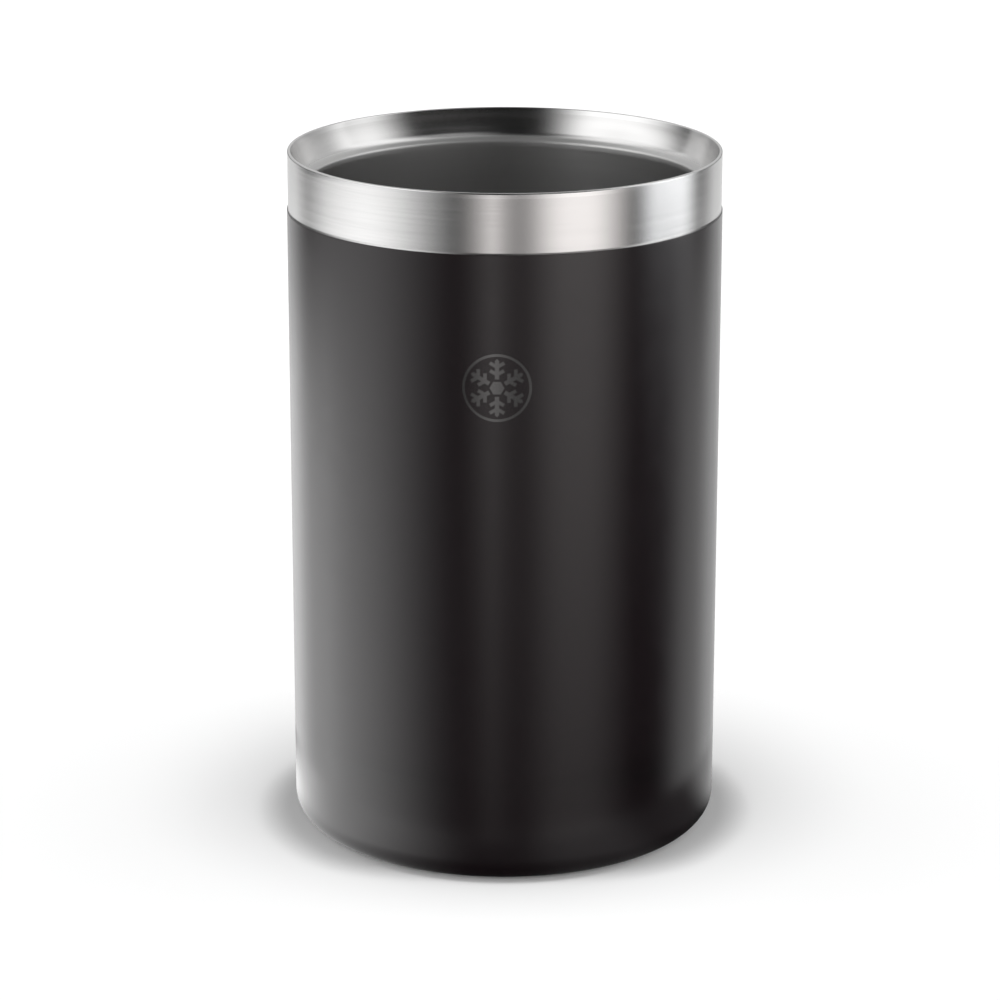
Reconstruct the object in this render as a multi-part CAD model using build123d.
from build123d import *
import math
import os

# Free-standing, double-walled, vacuum-insulated bottle chiller in stainless steel.
# Millimetres. Z is up along the axis of revolution, and z = 0 is the plane that the
# foot ring stands on. Every wall is a body of revolution made from a sheet profile.

# ---------------------------------------------------------------- driving dimensions
HEIGHT = 200.5            # table to the top of the lip
BAND_R = 62.0             # outer radius of the bare brushed band
BAND_H = 17.0             # lip to the edge of the coat
SHELL_T = 0.6             # outer wall sheet
STEP_OUT = 0.10           # the band is linished this far under the coated body
STEP_H = 0.45             # height of the small slope between band and body
COAT_T = 0.20             # powder coat
CORNER_R = 7.45           # outer corner radius of the steel, body to foot ring
FOOT_IN_R = 50.0          # collar face inside the foot ring
FOOT_CORNER_R = 1.4       # roll from foot ring to collar, on the underside
COLLAR_TOP_Z = 7.2        # free edge of the collar, inside the vacuum space
COAT_END_DEG = 73.0       # the coat wraps this far round the bottom corner

LINER_T = 0.5             # inner wall sheet
WELL_R = 56.3             # radius of the well
LIP_IN_R = 61.15          # where the flare's upper face would meet the top of the lip
LIP_OUT_ROUND = 0.45      # ground corners of the lip
LIP_IN_ROUND = 0.45
LIP_FUSED = 1.5           # depth of the fused, ground lip over the sheet edges
FLARE = [                 # mouth profile below the lip: (radius, depth under the lip)
    (60.02, 4.0),         # upper slope ends
    (58.62, 7.5),         # lower slope ends, shoulder begins
    (57.85, 8.4),         # shoulder flattens
    (WELL_R, 9.45),       # shoulder drops into the straight well
]
FLARE_FILLETS = [25.0, 4.0, 3.0, 1.0]

WELL_FLOOR_Z = 13.0       # top of the well's floor
PAN_CORNER_R = 8.0        # inside corner of the pan
PAN_TOP_Z = 26.0          # seam between liner and pan
PAN_STEP_R = 36.0         # stiffening step in the floor
PAN_STEP_H = 0.9

PLATE_T = 0.6             # vacuum base plate
PLATE_FLANGE_Z = 3.2      # lower edge of its flange
PLATE_Z = 5.3             # underside of its disc
PLATE_CORNER_R = 1.6
DIMPLE_R = 8.0            # seal pocket in the middle of the plate
DIMPLE_H = 2.3
TIP_OFF_R = 1.25          # pump-out hole

COVER_T = 0.5             # base cover
COVER_Z = 1.5             # underside of its rim
COVER_CORNER_R = 0.8
COVER_PANEL_R = 38.0      # raised centre panel
COVER_PANEL_H = 0.7
COVER_FLANGE_TOP_Z = 2.7

FOIL_T = 0.1
FOIL_Z0, FOIL_Z1 = 30.0, 181.0
FOIL_SEAM_DEG = 3.0       # the open seam of the wrap

GETTER_AT_R = 27.0        # distance of the getter from the axis
GETTER_R, GETTER_H = 5.0, 2.4
STRAP_W, STRAP_T, STRAP_L = 7.0, 0.3, 22.0


# ---------------------------------------------------------------- profile helpers
def unit(a, b):
    d = math.hypot(b[0] - a[0], b[1] - a[1])
    return ((b[0] - a[0]) / d, (b[1] - a[1]) / d)


def edges_of(pts, radii):
    """Straight runs joined by tangent arcs, in (radius, height)."""
    out, at = [], pts[0]
    for i in range(1, len(pts) - 1):
        p, r = pts[i], radii[i - 1]
        u, v = unit(p, pts[i - 1]), unit(p, pts[i + 1])
        half = math.acos(max(-1.0, min(1.0, u[0] * v[0] + u[1] * v[1]))) / 2
        if r < 1e-6 or abs(half - math.pi / 2) < 1e-6:
            out.append(Line(at, p))
            at = p
            continue
        cut = r / math.tan(half)
        a = (p[0] + u[0] * cut, p[1] + u[1] * cut)
        b = (p[0] + v[0] * cut, p[1] + v[1] * cut)
        w = unit((0, 0), (u[0] + v[0], u[1] + v[1]))
        deep = r / math.sin(half) - r
        m = (p[0] + w[0] * deep, p[1] + w[1] * deep)
        if math.dist(at, a) > 1e-6:
            out.append(Line(at, a))
        out.append(ThreePointArc(a, m, b))
        at = b
    out.append(Line(at, pts[-1]))
    return out


def offset_of(pts, radii, t):
    """The same path moved t to its left, with arcs that stay concentric."""
    out, new = [], []
    normals = []
    for a, b in zip(pts, pts[1:]):
        u = unit(a, b)
        normals.append((-u[1], u[0]))
    out.append((pts[0][0] + normals[0][0] * t, pts[0][1] + normals[0][1] * t))
    for i in range(1, len(pts) - 1):
        n, m = normals[i - 1], normals[i]
        k = t / (1 + n[0] * m[0] + n[1] * m[1])
        out.append((pts[i][0] + (n[0] + m[0]) * k, pts[i][1] + (n[1] + m[1]) * k))
        left_turn = n[0] * m[1] - n[1] * m[0] > 0
        new.append(max(radii[i - 1] + (-t if left_turn else t), 0.0))
    out.append((pts[-1][0] + normals[-1][0] * t, pts[-1][1] + normals[-1][1] * t))
    return out, new


def spin(edges):
    """A closed (radius, height) outline turned once round Z."""
    return revolve(Plane.XZ * make_face(edges), Axis.Z, 360)


def sheet(pts, radii, t, level_end=False):
    """Pressed sheet of thickness t to the left of the path, turned round Z. With level_end
    the sheet is trimmed level at the end of the path, whatever its slope there."""
    other, radii_o = offset_of(pts, radii, t)
    if level_end:
        u = unit(other[-2], other[-1])
        lift = (pts[-1][1] - other[-1][1]) / u[1]
        other[-1] = (other[-1][0] + u[0] * lift, pts[-1][1])
    edges = edges_of(pts, radii)
    edges += [Line(pts[-1], other[-1])]
    edges += edges_of(other[::-1], radii_o[::-1])
    if math.dist(other[0], pts[0]) > 1e-6:
        edges += [Line(other[0], pts[0])]
    return spin(edges)


# ---------------------------------------------------------------- outer wall
BODY_R = BAND_R + STEP_OUT
EDGE_Z = HEIGHT - LIP_FUSED            # both sheets end here, under the fused lip
COAT_Z = HEIGHT - BAND_H               # edge of the coat
STEP_Z = COAT_Z + STEP_H               # the slope ends here, and the band begins
INNER_FACE_R = BAND_R - SHELL_T

# Outside of the steel, from the sheet edge at the lip down to the collar's free edge.
shell_out = [
    (BAND_R, EDGE_Z),
    (BAND_R, STEP_Z),
    (BODY_R, COAT_Z),
    (BODY_R, 0.0),
    (FOOT_IN_R, 0.0),
    (FOOT_IN_R, COLLAR_TOP_Z),
]
shell_out_r = [0.0, 0.0, CORNER_R, FOOT_CORNER_R]
shell_in = [
    (INNER_FACE_R, EDGE_Z),
    (INNER_FACE_R, SHELL_T),
    (FOOT_IN_R + SHELL_T, SHELL_T),
    (FOOT_IN_R + SHELL_T, COLLAR_TOP_Z),
]
shell_in_r = [CORNER_R - SHELL_T, FOOT_CORNER_R - SHELL_T]
outer_shell = spin(
    edges_of(shell_out, shell_out_r)
    + [Line(shell_out[-1], shell_in[-1])]
    + edges_of(shell_in[::-1], shell_in_r[::-1])
    + [Line(shell_in[0], shell_out[0])]
)

# The coat covers the body and wraps round the corner. It ends just above the foot ring,
# which stays bare. Its upper edge is rounded.
coat_r = BODY_R + COAT_T
corner_c = (BODY_R - CORNER_R, CORNER_R)
turn = math.radians(COAT_END_DEG)


def on_corner(r, a):
    return (corner_c[0] + r * math.cos(a), corner_c[1] - r * math.sin(a))


er = COAT_T * 0.7
s45 = math.sqrt(0.5)
powder_coat = spin(
    [
        Line((BODY_R, COAT_Z), (coat_r - er, COAT_Z)),
        ThreePointArc(
            (coat_r - er, COAT_Z),
            (coat_r - er + er * s45, COAT_Z - er + er * s45),
            (coat_r, COAT_Z - er),
        ),
        Line((coat_r, COAT_Z - er), (coat_r, CORNER_R)),
        ThreePointArc(
            (coat_r, CORNER_R),
            on_corner(CORNER_R + COAT_T, turn / 2),
            on_corner(CORNER_R + COAT_T, turn),
        ),
        Line(on_corner(CORNER_R + COAT_T, turn), on_corner(CORNER_R, turn)),
        ThreePointArc(
            on_corner(CORNER_R, turn), on_corner(CORNER_R, turn / 2), (BODY_R, CORNER_R)
        ),
        Line((BODY_R, CORNER_R), (BODY_R, COAT_Z)),
    ]
)

# ---------------------------------------------------------------- inner wall
# Path along the wetted face, from the seam up to the sheet edge at the lip; the sheet
# lies to its right, on the vacuum side.
liner_path = [(WELL_R, PAN_TOP_Z)]
liner_path += [(r, HEIGHT - d) for r, d in reversed(FLARE)]
edge_in_r = LIP_IN_R - (LIP_IN_R - FLARE[0][0]) * LIP_FUSED / FLARE[0][1]
liner_path += [(edge_in_r, EDGE_Z)]
inner_liner = sheet(liner_path, list(reversed(FLARE_FILLETS)), -LINER_T, level_end=True)

# Pan: floor with a raised centre, rolled corner, straight rim up to the seam.
step_run = 2.2
pan_path = [
    (0.0, WELL_FLOOR_Z + PAN_STEP_H),
    (PAN_STEP_R - step_run, WELL_FLOOR_Z + PAN_STEP_H),
    (PAN_STEP_R, WELL_FLOOR_Z),
    (WELL_R, WELL_FLOOR_Z),
    (WELL_R, PAN_TOP_Z),
]
inner_bottom = sheet(pan_path, [3.0, 3.0, PAN_CORNER_R], -LINER_T)

# Seam bead on the vacuum side; the wetted side is ground flush.
seam_r, seam_w, seam_h = WELL_R + LINER_T, 2.4, 0.4
liner_bottom_weld = spin(
    [
        Line((seam_r, PAN_TOP_Z - seam_w / 2), (seam_r, PAN_TOP_Z + seam_w / 2)),
        ThreePointArc(
            (seam_r, PAN_TOP_Z + seam_w / 2),
            (seam_r + seam_h, PAN_TOP_Z),
            (seam_r, PAN_TOP_Z - seam_w / 2),
        ),
    ]
)

# Lip: both sheet edges are fused into one ring and ground round. Its inner face carries
# the slope of the flare right up to the rounding.
lip_pts = [(edge_in_r, EDGE_Z), (LIP_IN_R, HEIGHT), (BAND_R, HEIGHT), (BAND_R, EDGE_Z)]
mouth_weld = spin(
    edges_of(lip_pts, [LIP_IN_ROUND * 0.8, LIP_OUT_ROUND])
    + [Line(lip_pts[-1], lip_pts[0])]
)

# Copper foil, one wrap with an open seam at the back.
foil_full = spin(
    [
        Line((seam_r, FOIL_Z0), (seam_r + FOIL_T, FOIL_Z0)),
        Line((seam_r + FOIL_T, FOIL_Z0), (seam_r + FOIL_T, FOIL_Z1)),
        Line((seam_r + FOIL_T, FOIL_Z1), (seam_r, FOIL_Z1)),
        Line((seam_r, FOIL_Z1), (seam_r, FOIL_Z0)),
    ]
)
gap_w = 2 * (seam_r + FOIL_T) * math.sin(math.radians(FOIL_SEAM_DEG))
radiation_foil = foil_full - Pos(0, 60, (FOIL_Z0 + FOIL_Z1) / 2) * Box(
    gap_w, 20, FOIL_Z1 - FOIL_Z0 + 10
)

# ---------------------------------------------------------------- vacuum closure
# Down-flanged plate inside the collar. The seal pocket opens downwards.
pocket_run = 2.0
plate_path = [
    (FOOT_IN_R - PLATE_T, PLATE_FLANGE_Z),
    (FOOT_IN_R - PLATE_T, PLATE_Z),
    (DIMPLE_R, PLATE_Z),
    (DIMPLE_R - pocket_run, PLATE_Z + DIMPLE_H),
    (TIP_OFF_R, PLATE_Z + DIMPLE_H),
]
vacuum_base_plate = sheet(plate_path, [PLATE_CORNER_R - PLATE_T, 1.4, 0.6], -PLATE_T)

# Fillet weld in the corner between the flange's lower edge and the collar.
base_plate_weld = spin(
    [
        Line((FOOT_IN_R - PLATE_T, PLATE_FLANGE_Z), (FOOT_IN_R, PLATE_FLANGE_Z)),
        Line((FOOT_IN_R, PLATE_FLANGE_Z), (FOOT_IN_R, PLATE_FLANGE_Z - 0.45)),
        Line((FOOT_IN_R, PLATE_FLANGE_Z - 0.45), (FOOT_IN_R - 0.2, PLATE_FLANGE_Z - 0.42)),
        Line((FOOT_IN_R - 0.2, PLATE_FLANGE_Z - 0.42), (FOOT_IN_R - PLATE_T, PLATE_FLANGE_Z)),
    ]
)

# Glass bead: a low dome in the pocket, run into the pump-out hole.
pocket_z = PLATE_Z + DIMPLE_H
bead_r, bead_h = 4.2, 1.5
cap_r = (bead_r**2 + bead_h**2) / (2 * bead_h)
cap_z = pocket_z - bead_h + cap_r
cap_half = math.asin(bead_r / cap_r) / 2
seal_bead = spin(
    [
        Line((0, pocket_z - bead_h), (0, pocket_z + PLATE_T)),
        Line((0, pocket_z + PLATE_T), (TIP_OFF_R, pocket_z + PLATE_T)),
        Line((TIP_OFF_R, pocket_z + PLATE_T), (TIP_OFF_R, pocket_z)),
        Line((TIP_OFF_R, pocket_z), (bead_r, pocket_z)),
        ThreePointArc(
            (bead_r, pocket_z),
            (cap_r * math.sin(cap_half), cap_z - cap_r * math.cos(cap_half)),
            (0, pocket_z - bead_h),
        ),
    ]
)

# Getter: a pressed pill under a strap that is spot-welded to the plate.
plate_top = PLATE_Z + PLATE_T
at = Pos(GETTER_AT_R, 0, plate_top)
getter_pill = at * (Pos(0, 0, GETTER_H / 2) * Cylinder(GETTER_R, GETTER_H))
getter_pill = chamfer(getter_pill.edges().group_by(Axis.Z)[-1], 0.35)

half_l, arch = STRAP_L / 2, GETTER_H
arch_half = GETTER_R + 0.6
strap_path = [
    (-half_l, 0.0),
    (-arch_half, 0.0),
    (-arch_half + 0.5, arch),
    (arch_half - 0.5, arch),
    (arch_half, 0.0),
    (half_l, 0.0),
]
strap_radii = [0.5, 0.5, 0.5, 0.5]
over, over_r = offset_of(strap_path, strap_radii, STRAP_T)
strap_face = make_face(
    edges_of(strap_path, strap_radii)
    + [Line(strap_path[-1], over[-1])]
    + edges_of(over[::-1], over_r[::-1])
    + [Line(over[0], strap_path[0])]
)
strap = extrude(Plane.XZ * strap_face, STRAP_W / 2, both=True)
vent = Pos(0, 0, arch + STRAP_T / 2) * Cylinder(2.0, 3)   # lets the pill breathe
getter_bracket = at * (Rot(0, 0, 90) * (strap - vent))

# ---------------------------------------------------------------- base cover
# Thin pressed disc held inside the collar, clear of the table, with a raised panel.
cover_path = [
    (0.0, COVER_Z + COVER_PANEL_H),
    (COVER_PANEL_R - 1.6, COVER_Z + COVER_PANEL_H),
    (COVER_PANEL_R, COVER_Z),
    (FOOT_IN_R, COVER_Z),
    (FOOT_IN_R, COVER_FLANGE_TOP_Z),
]
base_cover = sheet(cover_path, [1.6, 1.6, COVER_CORNER_R], COVER_T)

NODES = {
    "outer_shell": outer_shell,
    "powder_coat": powder_coat,
    "inner_liner": inner_liner,
    "inner_bottom": inner_bottom,
    "mouth_weld": mouth_weld,
    "liner_bottom_weld": liner_bottom_weld,
    "radiation_foil": radiation_foil,
    "vacuum_base_plate": vacuum_base_plate,
    "base_plate_weld": base_plate_weld,
    "seal_bead": seal_bead,
    "getter_pill": getter_pill,
    "getter_bracket": getter_bracket,
    "base_cover": base_cover,
}

os.makedirs("parts", exist_ok=True)
for name, shape in NODES.items():
    shape.label = name
    export_step(shape, f"parts/{name}.step")
    box = shape.bounding_box()
    print(
        f"{name:20s} solids {len(shape.solids())}  volume {shape.volume:10.1f} mm3  "
        f"z {box.min.Z:7.2f} to {box.max.Z:7.2f}"
    )
